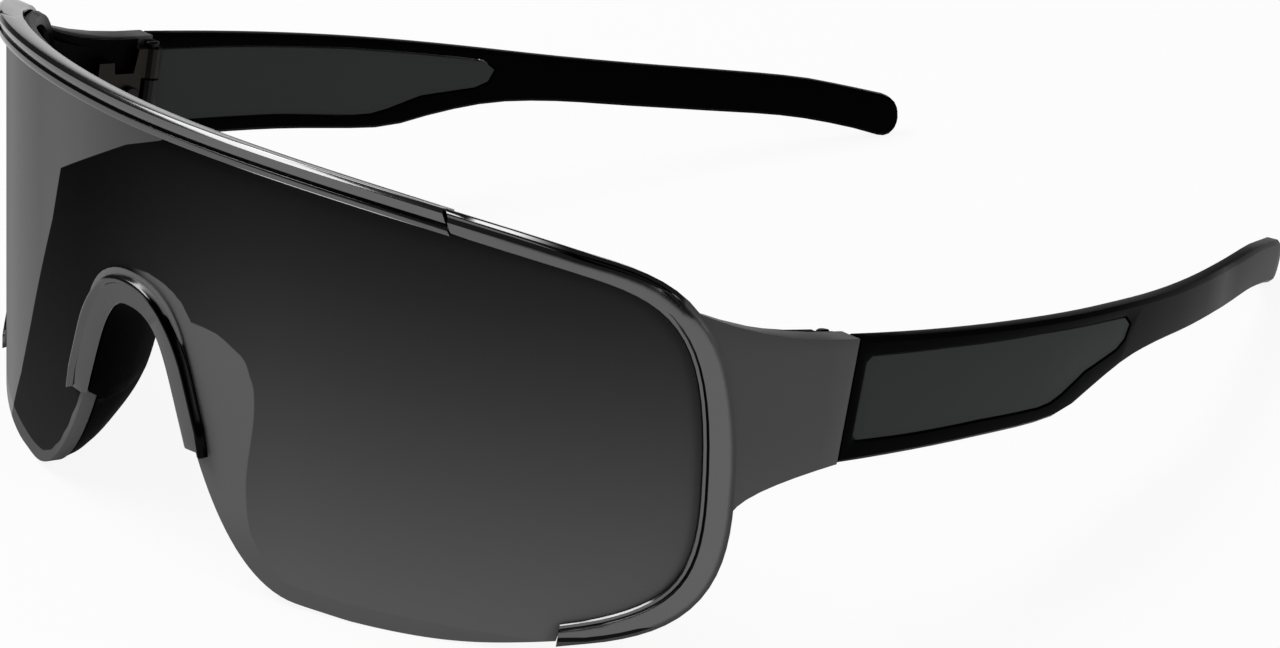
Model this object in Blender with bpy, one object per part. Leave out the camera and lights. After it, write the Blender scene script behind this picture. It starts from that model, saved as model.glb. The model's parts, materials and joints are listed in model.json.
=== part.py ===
"""Wrap-around sports glasses, modelled piece by piece in Blender 4.5 (metres, +Z up).

The glasses stand on the lower edge of the lens and on the tips of the arms, and face -Y. +X is the
wearer's left. The front pieces are modelled in the front's own frame, where the lens is an upright
cylinder: a place on it is an arc length from the middle, a height above the datum, and a distance out
from the lens's front face. The arms are modelled in the wearer's frame, level with the arms.
"""

import math

import bmesh
import bpy
from mathutils import Matrix, Vector
from mathutils.geometry import interpolate_bezier

# Front: the wrap, the lens and where the front sits relative to the hinges
WRAP_RADIUS = 0.0842
LENS_HALF_ARC = 0.0735
LUG_OVERHANG = 0.0035
LUG_LENGTH = 0.019
FRONT_DROP = 0.0055
FRONT_TILT = math.radians(8.4)
LENS_THICKNESS = 0.002
BROW_RISE = 0.02125
LENS_DROP = 0.0309
BROW_FALL_SHARE = 0.44
BROW_FALL_POWER = 2.47

# Rim round the outer end of the lens
RIM_CORNER_ARC = 0.0132
RIM_CORNER_REACH = 0.0099
RIM_SIDE_HEIGHT = -0.0095
RIM_SIDE_RISE = 0.0185
RIM_SIDE_FALL = 0.0109
RIM_END_SETBACK = 0.0142
RIM_END_HEIGHT = -0.0263
RIM_END_REACH = 0.0113
RIM_END_RISE = 0.0032
RIM_END_SLANT = 0.42
BROW_WIDTH = 0.00255
RIM_SIDE_WIDTH = 0.0037
RIM_END_WIDTH = 0.0025
COVER_FACE = 0.0013
COVER_RIDGE = 0.0018
COVER_LIP = 0.0009
COVER_LIP_WIDTH = 0.0005
COVER_GROOVE = 0.0003
COVER_WALL = 0.0007
COVER_DRAFT = 0.0009
COVER_BACK = 0.002

# Brow trim
TRIM_HALF_ARC = 0.0437
TRIM_SLANT = 0.55
TRIM_RIB_WIDTH = 0.0011
TRIM_RIB = 0.0017
TRIM_BAND = 0.0011

# Nose cut-out, its trim and the rubber saddle
NOSE_INNER_TOP = -0.0012
NOSE_INNER_FOOT_ARC = 0.0098
NOSE_FOOT_HEIGHT = -0.0155
NOSE_TRIM_WIDTH = 0.0043
NOSE_TRIM_PLATE = 0.0009
NOSE_TRIM_RIB = 0.0019
NOSE_TRIM_FOOT_DROP = 0.0016
NOSE_EDGE_INSET = 0.001
PAD_WALL = 0.0007
PAD_SHOULDER = 0.0022
PAD_SHOULDER_DEPTH = 0.0012
PAD_FLANGE = 0.0011
PAD_DEPTH = 0.007
PAD_FLARE = 0.0042

# Inner frame and lugs
FRAME_BACK_WALL = 0.0013
FRAME_INSIDE = 0.0009
FRAME_BROW_REACH = 0.0009
FRAME_CHAMFER = 0.0004
LENS_TUCK = 0.0008
LUG_HEAD_HEIGHT = 0.0128
LUG_FOOT_HEIGHT = -0.0122
LUG_DEPTH = 0.0029
LUG_ROOT = 0.0012
LUG_WALL = 0.0009
LUG_CORE_END = 0.0035
LUG_PLATE = 0.0008

# Arms
ROOT_HALF_HEIGHT = 0.0075
TEMPLE_LENGTH = 0.1255
TEMPLE_THICKNESS = 0.0024
TEMPLE_EDGE = 0.0005
TEMPLE_TIP_ROUND = 0.0026
OPEN_SPLAY = math.radians(3.9)
FRONT_BEND_LENGTH = 0.05
FRONT_BEND_RADIUS = 0.157
REAR_BEND_RADIUS = 0.366
WINDOW_FRONT = 0.0012
WINDOW_LENGTH = 0.0566
WINDOW_TOP = 0.0056
WINDOW_FOOT = 0.0051
WINDOW_RECESS = 0.00015

# Hinges
BARREL_RADIUS = 0.0016
PIN_RADIUS = 0.0007
PIN_HEAD_RADIUS = 0.0011
PIN_HEAD_HEIGHT = 0.0006
PIN_SLOT = 0.0006
PIN_SLOT_DEPTH = 0.0003
AXIS_SETBACK = 0.0012
KNUCKLE_HEIGHT = 0.004
LEAF_THICKNESS = 0.0009
LEAF_LENGTH = 0.0076
LEAF_ROOT_LENGTH = 0.0009
LEAF_WAIST_LENGTH = 0.0033
LEAF_WAIST_RISE = 0.003
LEAF_PLATE_RISE = 0.0046
LEAF_SHOULDER = 0.0005
TANG_THICKNESS = 0.0009
TANG_DEPTH = 0.0007
TANG_HALF_HEIGHT = 0.0032
SCREW_RADIUS = 0.0006
SCREW_HEAD_RADIUS = 0.0013
SCREW_HEAD_HEIGHT = 0.0005
SCREW_DEPTH = 0.001
SCREW_FRONT = 0.0019
SCREW_SPACING = 0.0038

# Clearance between pieces that touch, overrun of cuts, and a curve's facet counts
GAP = 0.0003
OVERRUN = 0.004
WRAP_STATIONS = 26
CORNER_STATIONS = 17
NOSE_STATIONS = 20
TEMPLE_STATIONS = 30
ROUND_SIDES = 16
SHARP_ANGLE = math.radians(32)

# Rim as shares of its length: how its face widens at the side, how its ridge runs along the brow and
# fades at the corner, and how it thins out towards its end
RIM_WIDTH_SHARES = ((0.0, 0.0), (0.5, 0.0), (0.62, 0.6), (0.75, 1.0), (0.88, 0.85), (1.0, 0.0))
RIM_RIDGE_SHARES = ((0.0, 1.0), (0.58, 1.0), (0.63, 0.0), (1.0, 0.0))
RIM_RISE_SHARES = ((0.0, 1.0), (0.8, 1.0), (1.0, 0.6))
# Lug face: heights at which the hinge leaf's seat is measured, as shares
LUG_SEAT_SHARES = (0.35, 0.5, 0.75)

# Lug: sections as shares of its length, rows as shares of its height, and how its edges fall and
# its outer face bulges
LUG_SHARES = (0.0, 0.02, 0.06, 0.14, 0.26, 0.42, 0.6, 0.8, 1.0)
LUG_FOOT_SHARE = 0.42
LUG_TOP_SHARE = 2.4
LUG_BULGE_SHARE = 0.41
LUG_ROW_SHARES = (0.0, 0.3, 0.6, 0.8, 0.9, 1.0)
# Arm outline as shares: distance along the arm, and height in half root heights
TEMPLE_TOP_SHARES = (
    (0.0, 1.0), (0.09, 0.96), (0.18, 0.92), (0.28, 0.865), (0.41, 0.77), (0.55, 0.655),
    (0.66, 0.61), (0.76, 0.605), (0.87, 0.59), (0.93, 0.5), (1.0, 0.37))
TEMPLE_FOOT_SHARES = (
    (0.0, -1.0), (0.1, -0.94), (0.2, -0.9), (0.3, -0.895), (0.34, -0.855), (0.36, -0.78), (0.41, -0.53),
    (0.475, -0.3), (0.55, -0.215), (0.65, -0.22), (0.75, -0.21), (0.86, -0.195), (0.94, -0.31), (1.0, -0.48))
# Window outline as shares: distance along the window, and height in window top or foot heights
WINDOW_SHARES = (
    (0.003, 0.82), (0.02, 0.98), (0.26, 0.98), (0.58, 0.93), (0.86, 0.8), (0.965, 0.73), (1.0, 0.5),
    (0.985, 0.13), (0.95, -0.06), (0.805, -0.36), (0.715, -0.77), (0.67, -0.92), (0.62, -0.965),
    (0.4, -0.93), (0.16, -0.99), (0.016, -1.0), (0.002, -0.88))
# Nose cut-out: the curve's handles as shares of the foot's arc and of the cut-out's drop
NOSE_TOP_HANDLE_SHARE = 0.53
NOSE_FOOT_HANDLE_SHARES = (0.62, 0.32)
# Nose trim along its path: its width, and where its rib starts and ends across that width
NOSE_TRIM_WIDTH_SHARES = ((0.0, 1.0), (0.3, 1.03), (0.6, 0.93), (1.0, 0.88))
NOSE_RIB_START_SHARES = ((0.0, 0.6), (0.5, 0.38), (1.0, 0.4))
NOSE_RIB_END_SHARES = ((0.0, 0.9), (0.35, 0.92), (0.6, 0.96), (1.0, 0.97))
# Rib of the nose trim: places across it, and their height in rib heights above the plate, as shares
NOSE_RIB_SHARES = ((0.12, 0.55), (0.3, 0.9), (0.5, 1.0), (0.7, 0.9), (0.88, 0.5))
# Lower edge of the lens: its lowest stretch, and the handles of the curves beside it, as shares
LENS_FOOT_SHARES = (0.36, 0.46)
LENS_NOSE_HANDLE_SHARES = ((0.22, 0.5), (0.45, 0.02))
LENS_SIDE_HANDLE_SHARES = (0.5, 0.4, 0.8)
# Depth and flare of the nose saddle behind the lens, along its path from the bridge to the foot
PAD_DEPTH_SHARES = ((0.0, 0.75), (0.2, 0.95), (0.4, 1.0), (0.6, 0.86), (0.8, 0.5), (1.0, 0.14))
PAD_FLARE_SHARES = ((0.0, 0.5), (0.25, 0.9), (0.5, 1.0), (0.75, 0.85), (1.0, 0.5))
PAD_HOLLOW_SHARE = 0.3
PAD_REACH_SHARE = 0.8
# How much the arm's height closes over its rounded tip, and how the cover's outer wall tops out
TIP_CLOSE_SHARE = 0.9
COVER_CREST_SHARES = (0.4, 0.75)
COVER_FOOT_SHARE = 0.7
CORE_GROWTH_SHARE = 0.88

LENS_HALF_ANGLE = LENS_HALF_ARC / WRAP_RADIUS
HINGE_HALF_WIDTH = WRAP_RADIUS * math.sin(LENS_HALF_ANGLE) + LUG_OVERHANG
FRONT_DEPTH = WRAP_RADIUS * (1 - math.cos(LENS_HALF_ANGLE)) + LUG_LENGTH
BROW_STRAIGHT_ARC = LENS_HALF_ARC - RIM_CORNER_ARC
RIM_END_ARC = LENS_HALF_ARC - RIM_END_SETBACK
AXIS_X = HINGE_HALF_WIDTH - TEMPLE_THICKNESS - GAP - BARREL_RADIUS
KNUCKLE_PITCH = KNUCKLE_HEIGHT + GAP
BARREL_RISE = KNUCKLE_PITCH + KNUCKLE_HEIGHT / 2


def table(shares, place):
    """Reads a smooth curve through a table of shares (Catmull-Rom between its points)."""
    last = len(shares) - 1
    index = 0
    while index < last - 1 and place > shares[index + 1][0]:
        index += 1
    start, end = shares[index], shares[index + 1]
    before = shares[max(index - 1, 0)]
    after = shares[min(index + 2, last)]
    span = end[0] - start[0]
    t = min(max((place - start[0]) / span, 0.0), 1.0)
    slope_in = (end[1] - before[1]) / (end[0] - before[0])
    slope_out = (after[1] - start[1]) / (after[0] - start[0])
    a = 2 * t ** 3 - 3 * t ** 2 + 1
    b = t ** 3 - 2 * t ** 2 + t
    c = t ** 3 - t ** 2
    return a * start[1] + b * span * slope_in + (1 - a) * end[1] + c * span * slope_out


def mix(a, b, share):
    return a + (b - a) * share


def make_material(name, colour, roughness, metallic):
    """One sub-part's own material, with the colour, roughness and metallic value of its finish."""
    material = bpy.data.materials.new(name)
    material.use_nodes = True
    shader = material.node_tree.nodes["Principled BSDF"]
    shader.inputs["Base Color"].default_value = (*colour, 1.0)
    shader.inputs["Roughness"].default_value = roughness
    shader.inputs["Metallic"].default_value = metallic
    return material


def nylon(node):
    return make_material(node + "_black_nylon", (0.006, 0.006, 0.007), 0.24, 0.0)


def gunmetal(node):
    return make_material(node + "_gunmetal", (0.115, 0.118, 0.122), 0.32, 0.85)


def smoke_lens(node):
    return make_material(node + "_smoke", (0.045, 0.047, 0.05), 0.08, 0.0)


def black_rubber(node):
    return make_material(node + "_rubber", (0.008, 0.008, 0.009), 0.6, 0.0)


def smoke_insert(node):
    return make_material(node + "_smoke_insert", (0.032, 0.036, 0.035), 0.3, 0.0)


def dark_steel(node):
    return make_material(node + "_steel", (0.12, 0.1, 0.09), 0.38, 1.0)


def add_solid(name, points, faces, material, parent, sharp=SHARP_ANGLE):
    """Makes a closed mesh object from points and faces given in its parent's frame."""
    mesh = bpy.data.meshes.new(name)
    bm = bmesh.new()
    corners = [bm.verts.new(point) for point in points]
    for face in faces:
        bm.faces.new([corners[index] for index in face])
    bmesh.ops.recalc_face_normals(bm, faces=bm.faces)
    bmesh.ops.triangulate(bm, faces=bm.faces)
    bm.to_mesh(mesh)
    bm.free()
    mesh.shade_smooth()
    mesh.set_sharp_from_angle(angle=sharp)
    solid = bpy.data.objects.new(name, mesh)
    bpy.context.scene.collection.objects.link(solid)
    solid.parent = parent
    if material:
        mesh.materials.append(material)
    return solid


def loft(sections):
    """Joins sections of equally many points into a closed skin with a cap at each end."""
    size = len(sections[0])
    points = [point for section in sections for point in section]
    faces = [tuple(range(size)), tuple(range(len(points) - size, len(points)))]
    for row in range(len(sections) - 1):
        for column in range(size):
            beside = (column + 1) % size
            faces.append((row * size + column, row * size + beside,
                          (row + 1) * size + beside, (row + 1) * size + column))
    return points, faces


def hide_helper(solid):
    solid.hide_render = True
    solid.display_type = "WIRE"


def boolean(solid, other, operation):
    """Joins or cuts a solid by a helper solid, which stays as a wire guide."""
    hide_helper(other)
    modifier = solid.modifiers.new(other.name, "BOOLEAN")
    modifier.operation = operation
    modifier.solver = "EXACT"
    modifier.object = other


def add_cylinder(name, radius, low, high, centre, material, parent, turn=None):
    """A cylinder along its own z from low to high, turned and then moved to its centre."""
    turn = turn or Matrix.Identity(3)
    step = 2 * math.pi / ROUND_SIDES
    sections = []
    for height in (low, high):
        ring = [Vector((radius * math.cos(step * side), radius * math.sin(step * side), height))
                for side in range(ROUND_SIDES)]
        sections.append([turn @ point + centre for point in ring])
    return add_solid(name, *loft(sections), material, parent)


def wrap_point(arc, height, out):
    """A place on the wrap, in the front's frame: x across, y backwards, z up the lens."""
    angle = arc / WRAP_RADIUS
    radius = WRAP_RADIUS + out
    return Vector((radius * math.sin(angle), WRAP_RADIUS - radius * math.cos(angle), height))


def brow_height(arc):
    """Height of the lens's visible top edge: a long flat arch that falls faster towards its ends."""
    return BROW_RISE * (1 - BROW_FALL_SHARE * (abs(arc) / LENS_HALF_ARC) ** BROW_FALL_POWER)


def rim_path():
    """The visible edge of the lens from the middle of the brow to the rim's end, wearer's left."""
    path = [(BROW_STRAIGHT_ARC * step / WRAP_STATIONS,
             brow_height(BROW_STRAIGHT_ARC * step / WRAP_STATIONS)) for step in range(WRAP_STATIONS)]
    shoulder = Vector((BROW_STRAIGHT_ARC, brow_height(BROW_STRAIGHT_ARC)))
    slope = (brow_height(BROW_STRAIGHT_ARC) - brow_height(path[-1][0])) / (BROW_STRAIGHT_ARC - path[-1][0])
    side = Vector((LENS_HALF_ARC, RIM_SIDE_HEIGHT))
    corner_in = shoulder + RIM_CORNER_REACH * Vector((1.0, slope)).normalized()
    upper = interpolate_bezier(shoulder, corner_in, side + Vector((0, RIM_SIDE_RISE)), side, CORNER_STATIONS)
    end = Vector((RIM_END_ARC, RIM_END_HEIGHT))
    lower = interpolate_bezier(side, side - Vector((0, RIM_SIDE_FALL)),
                               end + Vector((RIM_END_REACH, RIM_END_RISE)), end, CORNER_STATIONS)
    path += [tuple(point) for point in upper[:-1]]
    path += [tuple(point) for point in lower]
    return path


def rim_width(share):
    """Width of the rim's face: the brow's, wider at the side, narrower at its end."""
    base = mix(BROW_WIDTH, RIM_END_WIDTH, share)
    return base + (RIM_SIDE_WIDTH - base) * table(RIM_WIDTH_SHARES, share)


class Rim:
    """The rim path with its outward direction and width at each station, on one side."""

    def __init__(self):
        self.points = rim_path()
        self.lengths = [0.0]
        for index in range(1, len(self.points)):
            step = math.dist(self.points[index], self.points[index - 1])
            self.lengths.append(self.lengths[-1] + step)
        self.total = self.lengths[-1]

    def outward(self, index):
        low = self.points[max(index - 1, 0)]
        high = self.points[min(index + 1, len(self.points) - 1)]
        along = Vector((high[0] - low[0], high[1] - low[1])).normalized()
        return Vector((-along.y, along.x)), along

    def width(self, index):
        return rim_width(self.lengths[index] / self.total)

    def place(self, index, across, slant=0.0):
        """Arc and height at a distance outwards from the visible edge, sheared along the path."""
        outward, along = self.outward(index)
        arc, height = self.points[index]
        return (arc + outward.x * across + along.x * slant, height + outward.y * across + along.y * slant)

    def length_at(self, arc):
        """Distance along the path at which it reaches an arc on the brow."""
        index = next(index for index, point in enumerate(self.points) if point[0] > arc)
        low, high = self.points[index - 1][0], self.points[index][0]
        return mix(self.lengths[index - 1], self.lengths[index], (arc - low) / (high - low))

    def outer_at(self, height, across_from_outer=0.0):
        """Arc of the outer edge of the rim at a height on its side."""
        places = [self.place(index, self.width(index) + across_from_outer)
                  for index in range(WRAP_STATIONS, len(self.points))]
        for low, high in zip(places, places[1:]):
            if high[1] <= height <= low[1]:
                return mix(low[0], high[0], (low[1] - height) / (low[1] - high[1]))
        return places[0][0] if height > places[0][1] else places[-1][0]


def mirror_sections(sections, side):
    return [[Vector((side * point.x, point.y, point.z)) for point in section] for section in sections]


def cover_profile(width, rise, raised):
    """Across and out values of the rim cover: lip, groove, face, ridge and a drafted outer wall.

    The rise is the share of its full height over the lens that the cover has at this place, and
    raised is the share of the ridge that still stands out of its face."""
    lip = COVER_LIP_WIDTH
    start = lip + COVER_GROOVE
    ridge = width - COVER_WALL
    foot = width - COVER_DRAFT
    lip_top, low_lip, face, low_face, crest = (
        mix(GAP, height, rise)
        for height in (COVER_LIP, COVER_LIP - GAP, COVER_FACE, COVER_FACE - GAP, COVER_RIDGE))
    low_face, crest = (mix(face, height, raised) for height in (low_face, crest))
    crest_start, crest_end = (mix(ridge, width, share) for share in COVER_CREST_SHARES)
    return (
        (0.0, GAP), (0.0, low_lip), (lip / 3, lip_top), (lip, lip_top), (lip + COVER_GROOVE / 2, low_lip),
        (start, face), (ridge - GAP, face), (ridge, low_face), (crest_start, crest), (crest_end, crest),
        (width, face), (foot, -COVER_BACK), (foot - COVER_WALL * COVER_FOOT_SHARE, -COVER_BACK), (ridge, GAP))


def frame_profile(width):
    """Across and out values of the inner frame's bar behind the lens, wider where the rim is wider."""
    wide = (width - BROW_WIDTH) / (RIM_SIDE_WIDTH - BROW_WIDTH)
    reach = mix(FRAME_BROW_REACH, RIM_SIDE_WIDTH - COVER_WALL - GAP, max(wide, 0.0))
    front = -LENS_THICKNESS - GAP
    back = front - FRAME_BACK_WALL
    return ((-FRAME_INSIDE, front), (reach, front), (reach, back + 2 * FRAME_CHAMFER),
            (reach - FRAME_CHAMFER, back), (-FRAME_INSIDE + FRAME_CHAMFER, back),
            (-FRAME_INSIDE, back + FRAME_CHAMFER))


def build_rim_cover(name, side, rim, front):
    """Metallised shell: brow end, rim face and the lug's outer skin, joined into one moulding."""
    sections = []
    last = len(rim.points) - 1
    start = rim.length_at(TRIM_HALF_ARC + GAP)
    first = next(index for index, length in enumerate(rim.lengths) if length > start + BROW_WIDTH / 2)
    for index in [first - 1] + list(range(first, last + 1)):
        section = []
        rise = table(RIM_RISE_SHARES, rim.lengths[index] / rim.total)
        raised = table(RIM_RIDGE_SHARES, rim.lengths[index] / rim.total)
        for across, out in cover_profile(rim.width(index), rise, raised):
            slant = 0.0
            if index == first - 1:
                slant = start - rim.lengths[index] - TRIM_SLANT * (across - BROW_WIDTH / 2)
            if index == last:
                slant = RIM_END_SLANT * across
            section.append(wrap_point(*rim.place(index, across, slant), out))
        sections.append(section)
    cover = add_solid(name, *loft(mirror_sections(sections, side)), gunmetal(name), front)
    skin = build_lug_block(name + "_lug_skin", side, rim, front, 0.0, skin_reach)
    pocket = build_lug_block(name + "_lug_pocket", side, rim, front, LUG_WALL, pocket_reach,
                             overrun=OVERRUN)
    boolean(cover, skin, "UNION")
    boolean(cover, pocket, "DIFFERENCE")
    return cover


def front_matrix():
    """Takes the front's frame to the wearer's frame, whose y is zero at the hinge line."""
    return Matrix.Translation((0, -FRONT_DEPTH, -FRONT_DROP)) @ Matrix.Rotation(FRONT_TILT, 4, "X")


def lug_fall(along, up):
    """Share of the lug's taper reached: a quick fillet below, a longer sweep above."""
    return mix(along ** LUG_FOOT_SHARE, 1 - (1 - along) ** LUG_TOP_SHARE, up)


def lug_head(rim, up):
    """Where the lug leaves the rim at a share of its height, in the wearer's frame."""
    height = mix(LUG_FOOT_HEIGHT, LUG_HEAD_HEIGHT, up)
    arc = rim.outer_at(height, -COVER_WALL / 2)
    return front_matrix() @ wrap_point(arc, height, COVER_FACE - GAP)


def lug_face_x(head, y):
    """Outer face of the lug at a distance y behind the hinge line, where y is negative."""
    along = (y - head.y) / -head.y
    return mix(head.x, HINGE_HALF_WIDTH, along + LUG_BULGE_SHARE * along * (1 - along))


def skin_reach(back, along):
    """Depth of the lug's skin inwards, held back beside the rim so that it clears the frame."""
    return min(LUG_DEPTH, COVER_WALL / 2 + back)


def core_reach(back, along):
    """Depth of the lug's core, deeper at its root where it grows out of the frame's bar."""
    root = LUG_DEPTH + GAP + LUG_PLATE / 2 + LUG_ROOT * (1 - along) ** 3
    return min(root, LUG_WALL + GAP + FRAME_BACK_WALL / 2 + CORE_GROWTH_SHARE * back)


def pocket_reach(back, along):
    return LUG_DEPTH + OVERRUN


def plate_face(back, along):
    """Depth of the outer face of the plate that backs the lug's skin, a gap behind its edge."""
    return skin_reach(back, along) + GAP


def plate_reach(back, along):
    return plate_face(back, along) + LUG_PLATE


def lug_sections(rim, skin, reach, overrun, end_cut, cover=None, shares=LUG_SHARES):
    """Sections of the lug from the rim's outer edge to the hinge line, in the front's frame.

    A block starts at a skin's thickness inside the lug's outline, or at the depth that cover gives."""
    to_front = front_matrix().inverted()
    heads = [lug_head(rim, up) for up in LUG_ROW_SHARES]
    sections = []
    for along in shares:
        outer, inner = [], []
        for up, head in zip(LUG_ROW_SHARES, heads):
            z = mix(head.z, mix(-ROOT_HALF_HEIGHT, ROOT_HALF_HEIGHT, up), lug_fall(along, up))
            y = mix(head.y, -end_cut, along)
            face = lug_face_x(head, y)
            inside = face - reach(y - head.y, along)
            start = face - (cover(y - head.y, along) if cover else skin)
            y += overrun if along == 1.0 else 0.0
            z += skin * (1 - 2 * up)
            outer.append(to_front @ Vector((start, y, z)))
            inner.append(to_front @ Vector((inside, y, z)))
        sections.append(outer + inner[::-1])
    return sections


def build_lug_block(name, side, rim, front, skin, reach, overrun=0.0, end_cut=0.0, cover=None,
                    shares=LUG_SHARES):
    sections = lug_sections(rim, skin, reach, overrun, end_cut, cover, shares)
    return add_solid(name, *loft(mirror_sections(sections, side)), None, front)


def build_inner_frame(rim, front):
    """Black nylon half frame: brow and side rims behind the covers, and a core in each lug."""
    last = len(rim.points) - 1
    right = []
    for index in range(last, 0, -1):
        slant = RIM_END_SLANT if index == last else 0.0
        inset = GAP if index == last else 0.0
        section = [wrap_point(*rim.place(index, across, slant * across - inset), out)
                   for across, out in frame_profile(rim.width(index))]
        right.append(section)
    middle = [wrap_point(*rim.place(0, across), out) for across, out in frame_profile(rim.width(0))]
    for point in middle:
        point.x = 0.0
    sections = mirror_sections(right, -1) + [middle] + right[::-1]
    frame = add_solid("inner_frame", *loft(sections), nylon("inner_frame"), front)
    for side, word in ((1, "left"), (-1, "right")):
        core = build_lug_block(word + "_lug_core", side, rim, front, LUG_WALL + GAP, core_reach,
                               end_cut=LUG_CORE_END)
        boolean(frame, core, "UNION")
        plate = build_lug_block(word + "_lug_plate", side, rim, front, 0.0, plate_reach,
                                end_cut=LUG_CORE_END, cover=plate_face, shares=LUG_SHARES[3:])
        boolean(frame, plate, "UNION")
    return frame


def build_brow_trim(front):
    """Clip-on strip: rounded lower rib, groove, flat band and a top wall over the frame."""
    band = TRIM_RIB_WIDTH + GAP
    top = BROW_WIDTH
    foot = BROW_WIDTH - COVER_DRAFT
    profile = (
        (0.0, GAP), (0.0, TRIM_BAND), (TRIM_RIB_WIDTH / 4, TRIM_RIB - GAP / 2), (TRIM_RIB_WIDTH / 2, TRIM_RIB),
        (TRIM_RIB_WIDTH * 3 / 4, TRIM_RIB - GAP / 2), (TRIM_RIB_WIDTH, TRIM_BAND - GAP),
        (band, TRIM_BAND), (top - GAP, TRIM_BAND + GAP), (top, TRIM_BAND), (foot, -COVER_BACK),
        (foot - COVER_WALL * COVER_FOOT_SHARE, -COVER_BACK), (top - COVER_WALL, GAP))
    half = []
    stations = WRAP_STATIONS - 4
    for step in range(1, stations + 1):
        arc = TRIM_HALF_ARC * step / stations
        slope = (brow_height(arc + GAP) - brow_height(arc - GAP)) / (2 * GAP)
        along = Vector((1.0, slope)).normalized()
        section = []
        for across, out in profile:
            slant = -TRIM_SLANT * (across - BROW_WIDTH / 2) if step == stations else 0.0
            section.append(wrap_point(arc - along.y * across + along.x * slant,
                                      brow_height(arc) + along.x * across + along.y * slant, out))
        half.append(section)
    middle = [wrap_point(0.0, brow_height(0.0) + across, out) for across, out in profile]
    sections = mirror_sections(half, -1)[::-1] + [middle] + half
    return add_solid("brow_trim", *loft(sections), gunmetal("brow_trim"), front)


def nose_inner_path():
    """Inner edge of the nose trim on the wearer's left, from the bridge to the foot."""
    foot = Vector((NOSE_INNER_FOOT_ARC, NOSE_FOOT_HEIGHT))
    drop = NOSE_INNER_TOP - NOSE_FOOT_HEIGHT
    top = Vector((0.0, NOSE_INNER_TOP))
    near_top = top + Vector((NOSE_TOP_HANDLE_SHARE * NOSE_INNER_FOOT_ARC, 0.0))
    across, down = NOSE_FOOT_HANDLE_SHARES
    near_foot = Vector((across * NOSE_INNER_FOOT_ARC, NOSE_INNER_TOP - down * drop))
    return [Vector(point) for point in interpolate_bezier(top, near_top, near_foot, foot, NOSE_STATIONS)]


def lens_lower_edge():
    """Free lower edge of the lens on the wearer's left, from the nose trim's foot to the rim's end."""
    foot = nose_inner_path()[-1] + Vector((NOSE_EDGE_INSET, 0.0))
    corner = Vector((LENS_FOOT_SHARES[0] * LENS_HALF_ARC, -LENS_DROP + GAP))
    middle = Vector((LENS_FOOT_SHARES[1] * LENS_HALF_ARC, -LENS_DROP))
    end = Vector((RIM_END_ARC - 3 * GAP, RIM_END_HEIGHT - RIM_END_WIDTH))
    span = corner - foot
    (foot_x, foot_y), (corner_x, corner_y) = LENS_NOSE_HANDLE_SHARES
    first = interpolate_bezier(foot, foot + Vector((foot_x * span.x, foot_y * span.y)),
                               corner - Vector((corner_x * span.x, corner_y * span.y)), corner, NOSE_STATIONS)
    reach = end.x - middle.x
    start_x, end_x, end_y = LENS_SIDE_HANDLE_SHARES
    second = interpolate_bezier(middle, middle + Vector((start_x * reach, 0.0)),
                                end - Vector((end_x * reach, end_y * (end.y + LENS_DROP))), end, NOSE_STATIONS)
    return [Vector(point) for point in first] + [Vector(point) for point in second]


def outline_offset(points, distance):
    """Moves each point of an open line to its left by a distance."""
    moved = []
    for index, point in enumerate(points):
        low = points[max(index - 1, 0)]
        high = points[min(index + 1, len(points) - 1)]
        along = (Vector(high) - Vector(low)).normalized()
        moved.append(Vector(point) + distance * Vector((-along.y, along.x)))
    return moved


def build_lens(rim, front):
    """One-piece shield: rimless below, tucked into the frame at the top and sides."""
    upper = [Vector(rim.place(index, LENS_TUCK)) for index in range(1, len(rim.points))]
    rim_foot = Vector(rim.place(len(rim.points) - 1, LENS_TUCK))
    lower = lens_lower_edge()
    notch = outline_offset(nose_inner_path(), NOSE_EDGE_INSET)
    notch[0] = Vector((0.0, NOSE_INNER_TOP + NOSE_EDGE_INSET))
    turn = max(range(len(upper)), key=lambda index: upper[index].x)
    top_line = [Vector((0.0, BROW_RISE + LENS_TUCK))] + upper[:turn + 1]
    below = notch[:-1] + lower + [Vector((lower[-1].x + GAP, rim_foot.y))]
    below += [point for point in reversed(upper[turn:]) if point.x > below[-1].x + GAP]

    def height_on(line, arc):
        for low, high in zip(line, line[1:]):
            if low.x <= arc <= high.x and high.x > low.x:
                return mix(low.y, high.y, (arc - low.x) / (high.x - low.x))
        return line[-1].y

    arcs = sorted({round(point.x, 6) for point in below} | {round(point.x, 6) for point in top_line[::2]})
    kept = [arcs[0]]
    for arc in arcs[1:]:
        if arc - kept[-1] > GAP:
            kept.append(arc)
    half = []
    for arc in kept[1:]:
        high, low = height_on(top_line, arc), height_on(below, arc)
        if high - low < GAP:
            high = low + GAP
        half.append([wrap_point(arc, low, 0.0), wrap_point(arc, high, 0.0),
                     wrap_point(arc, high, -LENS_THICKNESS), wrap_point(arc, low, -LENS_THICKNESS)])
    middle = [wrap_point(0.0, NOSE_INNER_TOP + NOSE_EDGE_INSET, 0.0), wrap_point(0.0, top_line[0].y, 0.0),
              wrap_point(0.0, top_line[0].y, -LENS_THICKNESS),
              wrap_point(0.0, NOSE_INNER_TOP + NOSE_EDGE_INSET, -LENS_THICKNESS)]
    sections = mirror_sections(half, -1)[::-1] + [middle] + half
    return add_solid("shield_lens", *loft(sections), smoke_lens("shield_lens"), front)


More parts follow.
